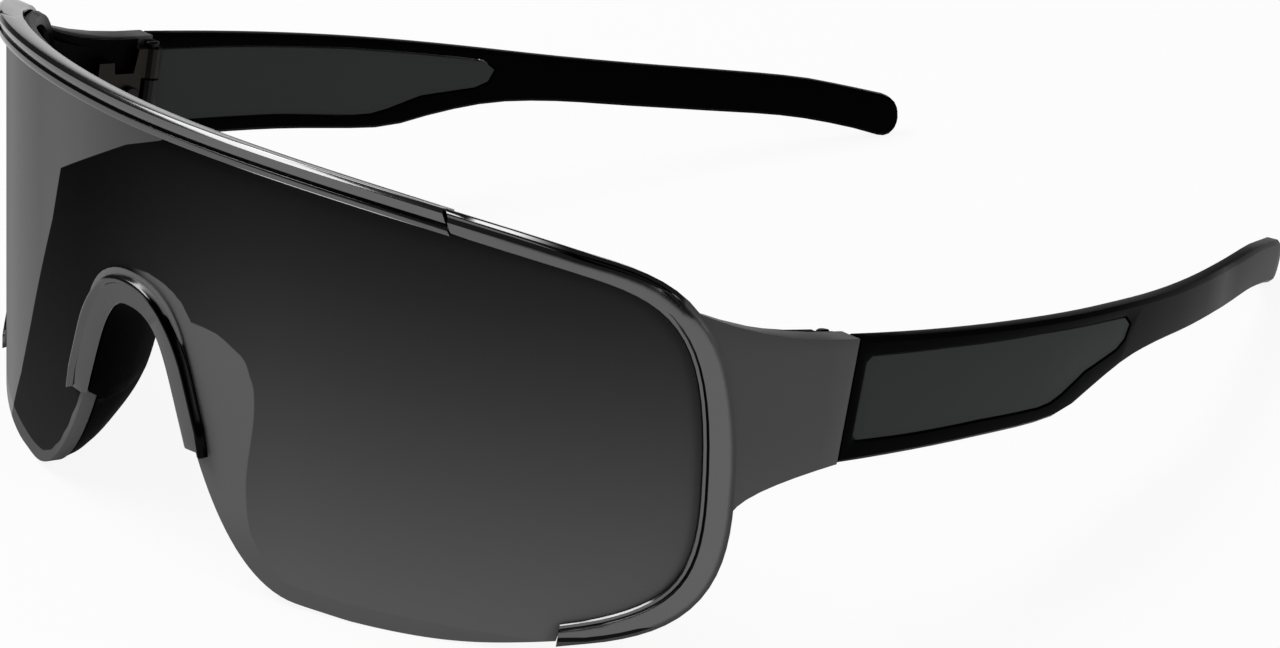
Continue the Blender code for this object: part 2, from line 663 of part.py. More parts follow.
def build_nose_trim(front):
    """Arch on the lens round the nose cut-out: flat inner part, a raised rib and a thin outer edge."""
    inner = nose_inner_path()
    across_lines = outline_offset(inner, 1.0)
    plate, rib = NOSE_TRIM_PLATE, NOSE_TRIM_RIB
    half = []
    for index in range(len(inner)):
        share = index / (len(inner) - 1)
        width = NOSE_TRIM_WIDTH * table(NOSE_TRIM_WIDTH_SHARES, share)
        direction = Vector((0.0, 1.0)) if index == 0 else across_lines[index] - inner[index]
        low = width * table(NOSE_RIB_START_SHARES, share)
        high = width * table(NOSE_RIB_END_SHARES, share)
        profile = [(0.0, GAP), (0.0, plate - GAP), (GAP, plate), (low, plate)]
        profile += [(mix(low, high, across), mix(plate, rib, up)) for across, up in NOSE_RIB_SHARES]
        profile += [(high, plate - GAP), (width, 2 * GAP), (width, GAP)]
        section = []
        for across, out in profile:
            place = inner[index] + direction * across
            if index == len(inner) - 1:
                place.y -= NOSE_TRIM_FOOT_DROP * math.sin(math.pi / 2 * across / width)
            section.append(wrap_point(place.x, place.y, out))
        half.append(section)
    for point in half[0]:
        point.x = 0.0
    sections = mirror_sections(half[1:], -1)[::-1] + half
    return add_solid("nose_bridge_trim", *loft(sections), gunmetal("nose_bridge_trim"), front)


def build_nose_pad(front):
    """Rubber saddle: a thin wall in the cut-out, a shoulder behind the lens and a flared flange.

    Below the trim's foot the wall ends, and the saddle lies wholly behind the lens."""
    edge = nose_inner_path()
    wall_end = len(edge)
    last = int(NOSE_STATIONS * PAD_REACH_SHARE)
    edge += outline_offset(lens_lower_edge(), -NOSE_EDGE_INSET)[1:last]
    lengths = [0.0]
    for low, high in zip(edge, edge[1:]):
        lengths.append(lengths[-1] + (high - low).length)
    sides = outline_offset(edge, 1.0)
    half = []
    for index, point in enumerate(edge):
        share = lengths[index] / lengths[-1]
        direction = Vector((0.0, 1.0)) if index == 0 else sides[index] - point
        depth = LENS_THICKNESS + GAP + PAD_SHOULDER_DEPTH + PAD_DEPTH * table(PAD_DEPTH_SHARES, share)
        flare = PAD_FLARE * table(PAD_FLARE_SHARES, share)
        back = LENS_THICKNESS + GAP
        inset = NOSE_EDGE_INSET + GAP if index > wall_end else 0.0
        if index < wall_end:
            wall = ((0.0, 0.0), (PAD_WALL, 0.0), (PAD_WALL, -back))
        else:
            wall = ((inset, -back - GAP / 2), (inset + GAP / 2, -back), (inset + PAD_WALL, -back))
        profile = (*wall, (PAD_SHOULDER, -back - GAP / 4),
                   (PAD_SHOULDER, -back - PAD_SHOULDER_DEPTH), (flare + PAD_FLANGE, -depth), (flare, -depth),
                   (mix(inset, flare, PAD_HOLLOW_SHARE), -(back + depth) / 2), (inset, -back - GAP))
        half.append([wrap_point(point.x + direction.x * across, point.y + direction.y * across, out)
                     for across, out in profile])
    for point in half[0]:
        point.x = 0.0
    sections = mirror_sections(half[1:], -1)[::-1] + half
    return add_solid("nose_pad", *loft(sections), black_rubber("nose_pad"), front)


def temple_plan(along, inward):
    """A place beside the arm's outer face in plan, for the wearer's left: two bends, one after another."""
    turn_front = min(along, FRONT_BEND_LENGTH) / FRONT_BEND_RADIUS
    heading = turn_front - OPEN_SPLAY
    x = HINGE_HALF_WIDTH - FRONT_BEND_RADIUS * (math.cos(OPEN_SPLAY) - math.cos(heading))
    y = GAP + FRONT_BEND_RADIUS * (math.sin(heading) + math.sin(OPEN_SPLAY))
    if along > FRONT_BEND_LENGTH:
        turned = heading + (along - FRONT_BEND_LENGTH) / REAR_BEND_RADIUS
        x -= REAR_BEND_RADIUS * (math.cos(heading) - math.cos(turned))
        y += REAR_BEND_RADIUS * (math.sin(turned) - math.sin(heading))
        heading = turned
    return x - inward * math.cos(heading), y - inward * math.sin(heading)


def temple_heights(along):
    share = along / TEMPLE_LENGTH
    high = ROOT_HALF_HEIGHT * table(TEMPLE_TOP_SHARES, share)
    low = ROOT_HALF_HEIGHT * table(TEMPLE_FOOT_SHARES, share)
    left = TEMPLE_LENGTH - along
    if left < TEMPLE_TIP_ROUND:
        cut = TEMPLE_TIP_ROUND - math.sqrt(max(TEMPLE_TIP_ROUND ** 2 - (TEMPLE_TIP_ROUND - left) ** 2, 0.0))
        high, low = high - cut * TIP_CLOSE_SHARE, low + cut * TIP_CLOSE_SHARE
    return low, high


def temple_stations():
    body = TEMPLE_LENGTH - TEMPLE_TIP_ROUND
    stations = [body * step / TEMPLE_STATIONS for step in range(TEMPLE_STATIONS + 1)]
    stations += [body + TEMPLE_TIP_ROUND * math.sin(math.pi / 2 * step / 4) for step in range(1, 5)]
    return stations


def temple_sections(outer_inset, inner_inset, edge):
    """Chamfered upright sections along the arm, in the wearer's frame."""
    sections = []
    for along in temple_stations():
        low, high = temple_heights(along)
        near, far = outer_inset, TEMPLE_THICKNESS - inner_inset
        ring = ((near, low + edge), (near, high - edge), (near + edge, high), (far - edge, high),
                (far, high - edge), (far, low + edge), (far - edge, low), (near + edge, low))
        section = []
        for inward, z in ring:
            x, y = temple_plan(along, inward)
            section.append(Vector((x, y, z)))
        sections.append(section)
    return sections


def window_outline(inset):
    """Window outline in y and z, shrunk by an inset, with its corners cut."""
    corners = []
    for along, up in WINDOW_SHARES:
        height = up * (WINDOW_TOP if up > 0 else WINDOW_FOOT)
        corners.append(Vector((WINDOW_FRONT + GAP + along * WINDOW_LENGTH, height)))
    if not inset:
        return corners
    count = len(corners)
    lines = []
    for index in range(count):
        a, b = corners[index], corners[(index + 1) % count]
        normal = Vector(((b - a).y, -(b - a).x)).normalized() * inset
        lines.append((a + normal, b + normal))
    shrunk = []
    for index in range(count):
        (a, b), (c, d) = lines[index - 1], lines[index]
        first, second = (b - a), (d - c)
        cross = first.x * second.y - first.y * second.x
        share = ((c - a).x * second.y - (c - a).y * second.x) / cross
        shrunk.append(a + first * share)
    return shrunk


def in_axis_frame(sections, side):
    """Mirrors wearer-frame sections to a side and moves them to the arm's hinge axis."""
    axis = Vector((side * AXIS_X, -AXIS_SETBACK, 0.0))
    return [[Vector((side * point.x, point.y, point.z)) - axis for point in section] for section in sections]


def window_prism(name, side, inset, parent):
    low_x = HINGE_HALF_WIDTH - WINDOW_LENGTH / 2
    high_x = HINGE_HALF_WIDTH + OVERRUN
    sections = [[Vector((x, point.x, point.y)) for point in window_outline(inset)] for x in (low_x, high_x)]
    return add_solid(name, *loft(in_axis_frame(sections, side)), None, parent)


def build_temple(name, side, parent):
    """Side arm with a window through its front part and a step down behind it."""
    temple = add_solid(name, *loft(in_axis_frame(temple_sections(0.0, 0.0, TEMPLE_EDGE), side)),
                       nylon(name), parent)
    boolean(temple, window_prism(name + "_window_cut", side, 0.0, parent), "DIFFERENCE")
    return temple


def build_window(name, side, parent):
    """Smoke insert that fills the window, a little below the arm's two faces."""
    blank = temple_sections(WINDOW_RECESS, WINDOW_RECESS, TEMPLE_EDGE)
    window = add_solid(name, *loft(in_axis_frame(blank, side)), smoke_insert(name), parent)
    boolean(window, window_prism(name + "_outline", side, GAP, parent), "INTERSECT")
    return window


def barrel(name, row, radius, parent):
    """One knuckle of the hinge, or the space it turns in: row -1, 0 or 1 up the pin."""
    middle = row * KNUCKLE_PITCH
    half = KNUCKLE_HEIGHT / 2 + radius - BARREL_RADIUS
    return add_cylinder(name, radius, middle - half, middle + half, Vector(), None, parent)


def bore(name, parent):
    reach = 2 * KNUCKLE_PITCH + OVERRUN
    return add_cylinder(name, PIN_RADIUS + GAP, -reach, reach, Vector(), None, parent)


def upright_bar(name, side, plan, low, high, material, parent):
    """A bar between two heights with a four-sided plan given in the wearer's frame."""
    sections = [[Vector((x, y, z)) for x, y in plan] for z in (low, high)]
    return add_solid(name, *loft(in_axis_frame(sections, side)), material, parent)


def lug_inner_x(rim, y):
    """Innermost reach of the lug core behind the hinge leaf at a distance y."""
    faces = [lug_face_x(lug_head(rim, up), y) for up in LUG_SEAT_SHARES]
    return min(faces) - LUG_DEPTH - GAP - LUG_PLATE


def leaf_line(rim):
    """Plan of the frame leaf's outer face, from its hinge end to its front end."""
    rear = -AXIS_SETBACK - BARREL_RADIUS - GAP
    front = rear - LEAF_LENGTH
    return Vector((lug_inner_x(rim, rear) - GAP, rear)), Vector((lug_inner_x(rim, front) - GAP, front))


def screw_places(rim):
    """Plan places of the two leaf screws on the leaf's inner face, with the turn of their axis."""
    rear, front = leaf_line(rim)
    along = (front - rear).normalized()
    inward = Vector((along.y, -along.x))
    places = [rear + along * distance + inward * LEAF_THICKNESS
              for distance in (SCREW_FRONT, SCREW_FRONT + SCREW_SPACING)]
    return places, inward


def build_frame_hinge(name, side, rim, seat):
    """Metal leaf on the lug's core with the upper and lower knuckles and two screw holes."""
    rear, front = leaf_line(rim)
    waist_end = LEAF_ROOT_LENGTH + LEAF_SHOULDER + LEAF_WAIST_LENGTH
    stops = ((0.0, BARREL_RISE), (LEAF_ROOT_LENGTH, BARREL_RISE),
             (LEAF_ROOT_LENGTH + LEAF_SHOULDER, LEAF_WAIST_RISE), (waist_end, LEAF_WAIST_RISE),
             (waist_end + GAP, LEAF_PLATE_RISE), (LEAF_LENGTH, LEAF_PLATE_RISE))
    inward = screw_places(rim)[1] * LEAF_THICKNESS
    sections = []
    for distance, height in stops:
        x, y = rear.lerp(front, distance / LEAF_LENGTH)
        sections.append([Vector((x, y, -height)), Vector((x, y, height)),
                         Vector((x + inward.x, y + inward.y, height)),
                         Vector((x + inward.x, y + inward.y, -height))])
    leaf = add_solid(name, *loft(in_axis_frame(sections, side)), dark_steel(name), seat)
    bottom = KNUCKLE_PITCH - KNUCKLE_HEIGHT / 2
    arm = ((rear.x, rear.y - LEAF_THICKNESS / 2), (rear.x, -AXIS_SETBACK),
           (rear.x - LEAF_THICKNESS, -AXIS_SETBACK), (rear.x - LEAF_THICKNESS, rear.y - LEAF_THICKNESS / 2))
    for row, word in ((1, "_upper"), (-1, "_lower")):
        low, high = sorted((row * bottom, row * (bottom + KNUCKLE_HEIGHT)))
        boolean(leaf, upright_bar(name + word + "_arm", side, arm, low, high, None, seat), "UNION")
        boolean(leaf, barrel(name + word + "_knuckle", row, BARREL_RADIUS, seat), "UNION")
    boolean(leaf, bore(name + "_bore", seat), "DIFFERENCE")
    for hole in screw_holes(name, side, rim, seat):
        boolean(leaf, hole, "DIFFERENCE")
    return leaf


def screw_turn(side, inward):
    """Turns a z axis to point from the leaf's inner face into the lug."""
    return Vector((-side * inward.x, -inward.y, 0.0)).to_track_quat("Z", "Y").to_matrix()


def screw_holes(name, side, rim, seat):
    """Holes for the leaf screws, through the leaf and into the lug's core."""
    places, inward = screw_places(rim)
    depth = LEAF_THICKNESS + GAP + SCREW_DEPTH + GAP
    holes = []
    for number, place in enumerate(places):
        centre = Vector((side * (place.x - AXIS_X), place.y + AXIS_SETBACK, 0.0))
        holes.append(add_cylinder(name + "_hole_" + str(number + 1), SCREW_RADIUS + GAP, -OVERRUN / 4, depth,
                                  centre, None, seat, screw_turn(side, inward)))
    return holes


def add_turned(name, profile, sides, material, parent, centre, turn=None):
    """A solid turned about its own z from pairs of radius and height, with flat ends."""
    turn = turn or Matrix.Identity(3)
    step = 2 * math.pi / sides
    sections = [[turn @ Vector((radius * math.cos(step * side), radius * math.sin(step * side), height)) + centre
                 for side in range(sides)] for radius, height in profile]
    return add_solid(name, *loft(sections), material, parent)


def build_leaf_screws(word, side, rim, seat):
    """Two small screws that hold the frame leaf, heads towards the wearer."""
    places, inward = screw_places(rim)
    length = LEAF_THICKNESS + GAP + SCREW_DEPTH
    edge = SCREW_HEAD_HEIGHT / 3
    profile = ((SCREW_HEAD_RADIUS - edge, -GAP - SCREW_HEAD_HEIGHT), (SCREW_HEAD_RADIUS, -GAP - 2 * edge),
               (SCREW_HEAD_RADIUS, -GAP), (SCREW_RADIUS, -GAP), (SCREW_RADIUS, length - edge),
               (SCREW_RADIUS - edge, length))
    for number, place in enumerate(places):
        centre = Vector((side * (place.x - AXIS_X), place.y + AXIS_SETBACK, 0.0))
        name = word + "_leaf_screw_" + str(number + 1)
        add_turned(name, profile, ROUND_SIDES, dark_steel(name), seat, centre, screw_turn(side, inward))


def build_hinge_screw(name, seat):
    """The pin: a slotted screw down through the three knuckles, head on the upper one."""
    edge = PIN_HEAD_HEIGHT / 3
    seat_height = BARREL_RISE + GAP
    top = seat_height + PIN_HEAD_HEIGHT
    profile = ((PIN_RADIUS - edge, -BARREL_RISE), (PIN_RADIUS, edge - BARREL_RISE), (PIN_RADIUS, seat_height),
               (PIN_HEAD_RADIUS, seat_height), (PIN_HEAD_RADIUS, top - edge), (PIN_HEAD_RADIUS - edge, top))
    screw = add_turned(name, profile, ROUND_SIDES, dark_steel(name), seat, Vector())
    reach = PIN_HEAD_RADIUS + OVERRUN
    cut = [[Vector((x, y, z)) for x, y in ((-PIN_SLOT / 2, -reach), (PIN_SLOT / 2, -reach),
                                           (PIN_SLOT / 2, reach), (-PIN_SLOT / 2, reach))]
           for z in (top - PIN_SLOT_DEPTH, top + OVERRUN)]
    boolean(screw, add_solid(name + "_slot", *loft(cut), None, seat), "DIFFERENCE")
    return screw


def tang_plan(clearance, overrun):
    """Plan of the tang let into the arm's front end, about the middle of the arm's thickness."""
    middle = HINGE_HALF_WIDTH - TEMPLE_THICKNESS / 2
    half = TANG_THICKNESS / 2 + clearance
    front = GAP - overrun
    rear = GAP + TANG_DEPTH + clearance
    return ((middle - half, front), (middle + half, front), (middle + half, rear), (middle - half, rear))


def strap_plan(clearance):
    """Plan of the strap from the middle knuckle to the tang."""
    middle = HINGE_HALF_WIDTH - TEMPLE_THICKNESS / 2
    half = TANG_THICKNESS / 2 + clearance
    rear = GAP + TANG_DEPTH
    return ((AXIS_X, -AXIS_SETBACK - half), (middle + half, GAP), (middle + half - clearance, rear),
            (middle - half, rear + clearance), (AXIS_X, -AXIS_SETBACK + half))


def build_temple_hinge(name, side, axis):
    """Middle knuckle with a strap and a tang that sit in the arm's front end."""
    tang = upright_bar(name, side, tang_plan(0.0, 0.0), -TANG_HALF_HEIGHT, TANG_HALF_HEIGHT,
                       dark_steel(name), axis)
    half = KNUCKLE_HEIGHT / 2
    boolean(tang, upright_bar(name + "_strap", side, strap_plan(0.0), -half, half, None, axis), "UNION")
    boolean(tang, barrel(name + "_knuckle", 0, BARREL_RADIUS, axis), "UNION")
    boolean(tang, bore(name + "_bore", axis), "DIFFERENCE")
    return tang


def cut_tang_seat(temple, side, axis):
    """Seat for the tang and its strap in the arm's front end."""
    name = temple.name
    height = TANG_HALF_HEIGHT + GAP
    seat = upright_bar(name + "_tang_seat", side, tang_plan(GAP, OVERRUN), -height, height, None, axis)
    boolean(temple, seat, "DIFFERENCE")
    half = KNUCKLE_HEIGHT / 2 + GAP
    slot = upright_bar(name + "_strap_slot", side, strap_plan(GAP), -half, half, None, axis)
    boolean(temple, slot, "DIFFERENCE")


def add_empty(name, parent, place):
    empty = bpy.data.objects.new(name, None)
    empty.empty_display_size = LEAF_LENGTH
    bpy.context.scene.collection.objects.link(empty)
    empty.parent = parent
    empty.location = place
    return empty


def solid_points():
    """Every corner of every visible solid, in the world."""
    graph = bpy.context.evaluated_depsgraph_get()
    points = []
    for solid in bpy.context.scene.objects:
        if solid.type == "MESH" and not solid.hide_render:
            shape = solid.evaluated_get(graph)
            mesh = shape.to_mesh()
            points += [shape.matrix_world @ corner.co for corner in mesh.vertices]
            shape.to_mesh_clear()
    return points


def stand(root):
    """Tips the glasses until lens and arm tips share a level, then centres them over the origin."""
    points = solid_points()
    middle = sum((point.y for point in points)) / len(points)
    fore = [point for point in points if point.y < middle]
    rear = [point for point in points if point.y >= middle]
    tilt = 0.0
    for step in range(8):
        drop = Vector((0.0, -math.sin(tilt), math.cos(tilt)))
        low_fore = min(fore, key=drop.dot)
        low_rear = min(rear, key=drop.dot)
        tilt = math.atan2(low_rear.z - low_fore.z, low_rear.y - low_fore.y)
    root.rotation_euler = (-tilt, 0.0, 0.0)
    turned = [Matrix.Rotation(-tilt, 3, "X") @ point for point in points]
    depths = [point.y for point in turned]
    root.location = (0.0, -(min(depths) + max(depths)) / 2, -min(point.z for point in turned))
    bpy.context.view_layer.update()


def main():
    for leftover in list(bpy.data.objects):
        bpy.data.objects.remove(leftover, do_unlink=True)
    root = add_empty("glasses", None, (0.0, 0.0, 0.0))
    front = add_empty("front_datum", root, (0.0, -FRONT_DEPTH, -FRONT_DROP))
    front.rotation_euler = (FRONT_TILT, 0.0, 0.0)
    rim = Rim()
    frame = build_inner_frame(rim, front)
    build_brow_trim(front)
    build_lens(rim, front)
    build_nose_trim(front)
    build_nose_pad(front)
    for side, word in ((1, "left"), (-1, "right")):
        place = (side * AXIS_X, -AXIS_SETBACK, 0.0)
        seat = add_empty(word + "_hinge_seat", root, place)
        axis = add_empty(word + "_fold_axis", root, place)
        build_rim_cover(word + "_rim_cover", side, rim, front)
        build_frame_hinge(word + "_frame_hinge", side, rim, seat)
        for hole in screw_holes(word + "_lug", side, rim, seat):
            boolean(frame, hole, "DIFFERENCE")
        build_leaf_screws(word, side, rim, seat)
        build_hinge_screw(word + "_hinge_screw", seat)
        temple = build_temple(word + "_temple", side, axis)
        cut_tang_seat(temple, side, axis)
        build_window(word + "_temple_window", side, axis)
        build_temple_hinge(word + "_temple_hinge", side, axis)
    bpy.context.view_layer.update()
    stand(root)


main()
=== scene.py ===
import json
import math

import bpy
from mathutils import Matrix, Vector
from mathutils.geometry import interpolate_bezier

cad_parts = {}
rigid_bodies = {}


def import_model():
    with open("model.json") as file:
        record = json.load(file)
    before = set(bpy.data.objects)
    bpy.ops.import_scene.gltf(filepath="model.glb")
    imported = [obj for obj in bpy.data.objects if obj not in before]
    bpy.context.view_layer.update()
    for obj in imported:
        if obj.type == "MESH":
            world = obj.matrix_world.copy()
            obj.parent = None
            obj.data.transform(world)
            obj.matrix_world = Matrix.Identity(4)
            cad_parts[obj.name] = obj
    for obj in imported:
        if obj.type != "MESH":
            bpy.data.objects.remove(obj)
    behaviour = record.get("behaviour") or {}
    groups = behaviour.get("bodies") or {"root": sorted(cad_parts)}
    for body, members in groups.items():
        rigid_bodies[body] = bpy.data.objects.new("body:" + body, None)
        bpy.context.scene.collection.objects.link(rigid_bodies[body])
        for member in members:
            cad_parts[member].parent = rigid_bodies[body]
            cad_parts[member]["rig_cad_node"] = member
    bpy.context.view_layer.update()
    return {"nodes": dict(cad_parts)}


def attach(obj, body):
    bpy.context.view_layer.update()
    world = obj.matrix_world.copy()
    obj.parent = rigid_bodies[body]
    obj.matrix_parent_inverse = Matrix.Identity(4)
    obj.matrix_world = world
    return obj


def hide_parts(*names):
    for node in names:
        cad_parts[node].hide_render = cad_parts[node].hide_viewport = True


bpy.ops.object.select_all(action="SELECT")
bpy.ops.object.delete()

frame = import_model()
nodes = frame["nodes"]


# The table, the room and the camera
# The glasses stand on a white table top in a room with white walls and a dark ceiling. Polished
# surfaces show the table and the walls, and the dark side of the room where the camera stands.


def grey(level):
    return (level, level, level, 1)


class Wire:
    """A socket of a shader's node tree that sums, products and comparisons can be written with."""

    def __init__(self, tree, socket=None):
        self.tree = tree
        self.socket = socket

    def node(self, kind, settings=None, values=None, output=0):
        made = self.tree.nodes.new(kind)
        for name, value in (settings or {}).items():
            if name == "stops":
                ramp = made.color_ramp
                while len(ramp.elements) < len(value):
                    ramp.elements.new(0.5)
                for element, (position, level) in zip(ramp.elements, value):
                    element.position = position
                    element.color = grey(level)
            elif name == "interpolation":
                made.color_ramp.interpolation = value
            else:
                setattr(made, name, value)
        for place, value in (values or {}).items():
            if isinstance(value, Wire):
                self.tree.links.new(value.socket, made.inputs[place])
            else:
                made.inputs[place].default_value = value
        return Wire(self.tree, made.outputs[output] if made.outputs else None)

    def math(self, operation, *others):
        values = {0: self}
        for place, other in enumerate(others, 1):
            values[place] = other
        return self.node("ShaderNodeMath", {"operation": operation}, values)

    def __add__(self, other):
        return self.math("ADD", other)

    __radd__ = __add__

    def __sub__(self, other):
        return self.math("SUBTRACT", other)

    def __rsub__(self, other):
        return self.node("ShaderNodeMath", {"operation": "SUBTRACT"}, {0: other, 1: self})

    def __mul__(self, other):
        return self.math("MULTIPLY", other)

    __rmul__ = __mul__

    def __truediv__(self, other):
        return self.math("DIVIDE", other)

    def rise(self, low, high):
        """Goes smoothly from 0 to 1 while this value goes from low to high."""
        return self.node(
            "ShaderNodeMapRange",
            {"interpolation_type": "SMOOTHSTEP"},
            {0: self, 1: low, 2: high, 3: 0.0, 4: 1.0},
        )

    def into(self, low, high):
        """Goes from one number to another as this value goes from 0 to 1."""
        return low + self * (high - low)

    def curve(self, low, span, stops, interpolation="LINEAR"):
        """Reads this value on a curve through the stops, which begins at low and is span long."""
        settings = {"interpolation": interpolation, "stops": stops}
        return self.node("ShaderNodeValToRGB", settings, {0: (self - low) / span})


def new_tree(owner):
    owner.use_nodes = True
    owner.node_tree.nodes.clear()
    return Wire(owner.node_tree)


def new_material(name):
    """A bare material, its node tree and the place on the piece that it colours."""
    material = bpy.data.materials.new(name)
    start = new_tree(material)
    return material, start, start.node("ShaderNodeTexCoord", output="Object")


def ray_kinds(start):
    """Wires that are 1 for what the camera sees, what a surface mirrors and what shows through."""
    kinds = ("Is Camera Ray", "Is Glossy Ray", "Is Transmission Ray")
    return [start.node("ShaderNodeLightPath", output=kind) for kind in kinds]


def reach(start, vector, axis):
    """How far a vector goes along an axis."""
    settings = {"operation": "DOT_PRODUCT"}
    return start.node("ShaderNodeVectorMath", settings, {0: vector, 1: axis}, 1)


camera_side = (0.69, -0.72, 0.0)
room_light = 0.45
ceiling_shine = 0.07

world = bpy.data.worlds.new("white_walls_dark_ceiling")
bpy.context.scene.world = world
start = new_tree(world)
seen, mirrored, through = ray_kinds(start)
direction = start.node("ShaderNodeTexCoord", output="Generated")
ceiling = reach(start, direction, (0, 0, 1)).rise(-0.04, 0.06)
dark_side = reach(start, direction, camera_side).rise(0.2, 0.5)
walls = (1 - ceiling) * (1 - dark_side)
strength = room_light + (seen + through) * (1 - room_light)
strength = strength + mirrored * (walls.into(ceiling_shine, 1.0) - room_light)
shine = start.node("ShaderNodeBackground", {}, {"Color": grey(1.0), "Strength": strength})
start.node("ShaderNodeOutputWorld", {}, {"Surface": shine})

table_glow = 0.9
dark_side_shine = 0.06

bpy.ops.mesh.primitive_plane_add(size=6, location=(0, 0, 0))
table = bpy.context.object
table.name = "table_top"
material, start, place = new_material("white_table")
seen, mirrored, through = ray_kinds(start)
paper = start.node("ShaderNodeBsdfPrincipled", {}, {"Base Color": grey(0.8), "Roughness": 0.9})
glow = start.node("ShaderNodeEmission", {}, {"Color": grey(1.0), "Strength": 1.0})
dark = start.node("ShaderNodeEmission", {}, {"Color": grey(1.0), "Strength": dark_side_shine})
glowing = (seen + mirrored + through) * table_glow
lit = start.node("ShaderNodeMixShader", {}, {0: glowing, 1: paper, 2: glow})
beyond = mirrored * reach(start, place, camera_side).rise(0.26, 0.42)
shade = start.node("ShaderNodeMixShader", {}, {0: beyond, 1: lit, 2: dark})
start.node("ShaderNodeOutputMaterial", {}, {"Surface": shade})
table.data.materials.append(material)

lamp_aim = Vector((0, -0.02, 0.03))


def softbox(name, place, size, power):
    turn = (lamp_aim - Vector(place)).to_track_quat("-Z", "Y").to_euler()
    bpy.ops.object.light_add(type="AREA", location=place, rotation=turn)
    lamp = bpy.context.object
    lamp.name = name
    lamp.data.shape = "RECTANGLE"
    lamp.data.size, lamp.data.size_y = size
    lamp.data.energy = power


softbox("lamp_over_brow", (-0.44, -0.4, 0.86), (0.8, 0.4), 7.0)
softbox("lamp_left_side", (1.1, 0.1, 0.5), (0.4, 0.6), 4.0)

camera_place = (0.350818, -0.331797, 0.215704)
camera_turn = (66.3556, -0.9786, 47.2111)

bpy.ops.object.camera_add(
    location=camera_place,
    rotation=[math.radians(turn) for turn in camera_turn],
)
camera = bpy.context.object
camera.data.sensor_width = 36
camera.data.lens = 112.37
bpy.context.scene.camera = camera
bpy.context.scene.view_settings.view_transform = "Standard"


# Side arms and inner frame
# Each arm and the half frame behind the trim is one injection moulding in black nylon. Their edges
# come rounded from the mould, and the nylon has a slightly uneven skin. A painted highlight
# lightens the outward faces of the arm tips.

same_corner = 0.000003
same_plane = math.radians(0.06)
smooth_turn = math.radians(38)


def moulded(name, body, rounding, sharp=30, moved=None):
    """The node's shape with its edges rounded, after each corner has gone where moved says."""
    bpy.ops.object.select_all(action="DESELECT")
    nodes[name].select_set(True)
    bpy.context.view_layer.objects.active = nodes[name]
    bpy.ops.object.duplicate()
    bpy.ops.object.parent_clear(type="CLEAR_KEEP_TRANSFORM")
    piece = bpy.context.object
    piece.name = name + "_moulding"
    del piece["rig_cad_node"]
    bpy.ops.object.mode_set(mode="EDIT")
    bpy.ops.mesh.select_all(action="SELECT")
    bpy.ops.mesh.remove_doubles(threshold=same_corner)
    bpy.ops.mesh.dissolve_limited(angle_limit=same_plane)
    bpy.ops.object.mode_set(mode="OBJECT")
    bpy.ops.mesh.customdata_custom_splitnormals_clear()
    if moved:
        for corner in piece.data.vertices:
            corner.co = moved(corner.co)
    bevel = piece.modifiers.new("rounding", "BEVEL")
    bevel.width = rounding
    bevel.segments = 2
    bevel.limit_method = "ANGLE"
    bevel.angle_limit = math.radians(sharp)
    bpy.ops.object.modifier_apply(modifier="rounding")
    bpy.ops.object.shade_smooth_by_angle(angle=smooth_turn)
    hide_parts(name)
    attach(piece, body)
    return piece


def finish_with(piece, material):
    piece.data.materials.clear()
    piece.data.materials.append(material)


def part_of(start, vector, axis):
    return start.node("ShaderNodeSeparateXYZ", {}, {0: vector}, axis)


def colour(start, *parts):
    return start.node("ShaderNodeCombineColor", {}, dict(enumerate(parts)))


def mottled(start, place, scale, detail):
    values = {"Vector": place, "Scale": scale, "Detail": detail}
    return start.node("ShaderNodeTexNoise", {}, values)


def uneven(start, height, strength, distance):
    values = {"Strength": strength, "Distance": distance, "Height": height}
    return start.node("ShaderNodeBump", {}, values)


def surface(start, values):
    shade = start.node("ShaderNodeBsdfPrincipled", {}, values)
    start.node("ShaderNodeOutputMaterial", {}, {"Surface": shade})


nylon_tone = 0.0008
# Painted highlight: the outward faces of the arm tips are painted lighter, brightest a little
# before the end.
tip_sheen_from, tip_sheen_length = 0.02, 0.065
tip_sheen_tones = (
    (0.0, 0.0008), (0.3, 0.0125), (0.45, 0.026), (0.555, 0.066), (0.64, 0.036), (1.0, 0.03))

nylon, start, place = new_material("black_nylon_gloss")
flow = mottled(start, place, 60.0, 2.0)
grain = mottled(start, place, 2600.0, 1.0)
facing = start.node("ShaderNodeNewGeometry", output="Normal")
outwards = part_of(start, facing, "X") * part_of(start, place, "X").math("SIGN")
tip_sheen = part_of(start, place, "Y").curve(tip_sheen_from, tip_sheen_length, tip_sheen_tones)
level = outwards.rise(0.3, 0.8) * tip_sheen + nylon_tone
surface(start, {
    "Base Color": colour(start, level, level, level),
    "Roughness": flow.into(0.25, 0.35),
    "Specular IOR Level": 0.006,
    "Normal": uneven(start, grain, 0.04, 0.00003),
})
nodes["inner_frame"].material_slots[0].material = nylon
for name, body in (("left_temple", "left_arm"), ("right_temple", "right_arm")):
    finish_with(moulded(name, body, rounding=0.00018, sharp=24), nylon)


# Rim covers
# Each is a thin plastic shell over the end of the brow, the side of the lens and the lug, clipped
# and glued on. It is metallised in a vacuum and lacquered: a dark grey mirror with a faint haze.

wrap_radius = 0.0842
wrap_middle = Vector((0, -0.082724, 0.031416))
wrap_lean = math.radians(-3.1808)
lean = Matrix.Rotation(wrap_lean, 3, "X")


def on_wrap(point):
    """Arc from the middle of the nose, height and distance out from the lens's front."""
    local = lean.transposed() @ (point - wrap_middle)
    back = wrap_radius - local.y
    out = math.hypot(local.x, back) - wrap_radius
    return math.atan2(local.x, back) * wrap_radius, local.z, out


def off_wrap(arc, height, out):
    radius = wrap_radius + out
    turn = arc / wrap_radius
    back = wrap_radius - radius * math.cos(turn)
    return wrap_middle + lean @ Vector((radius * math.sin(turn), back, height))


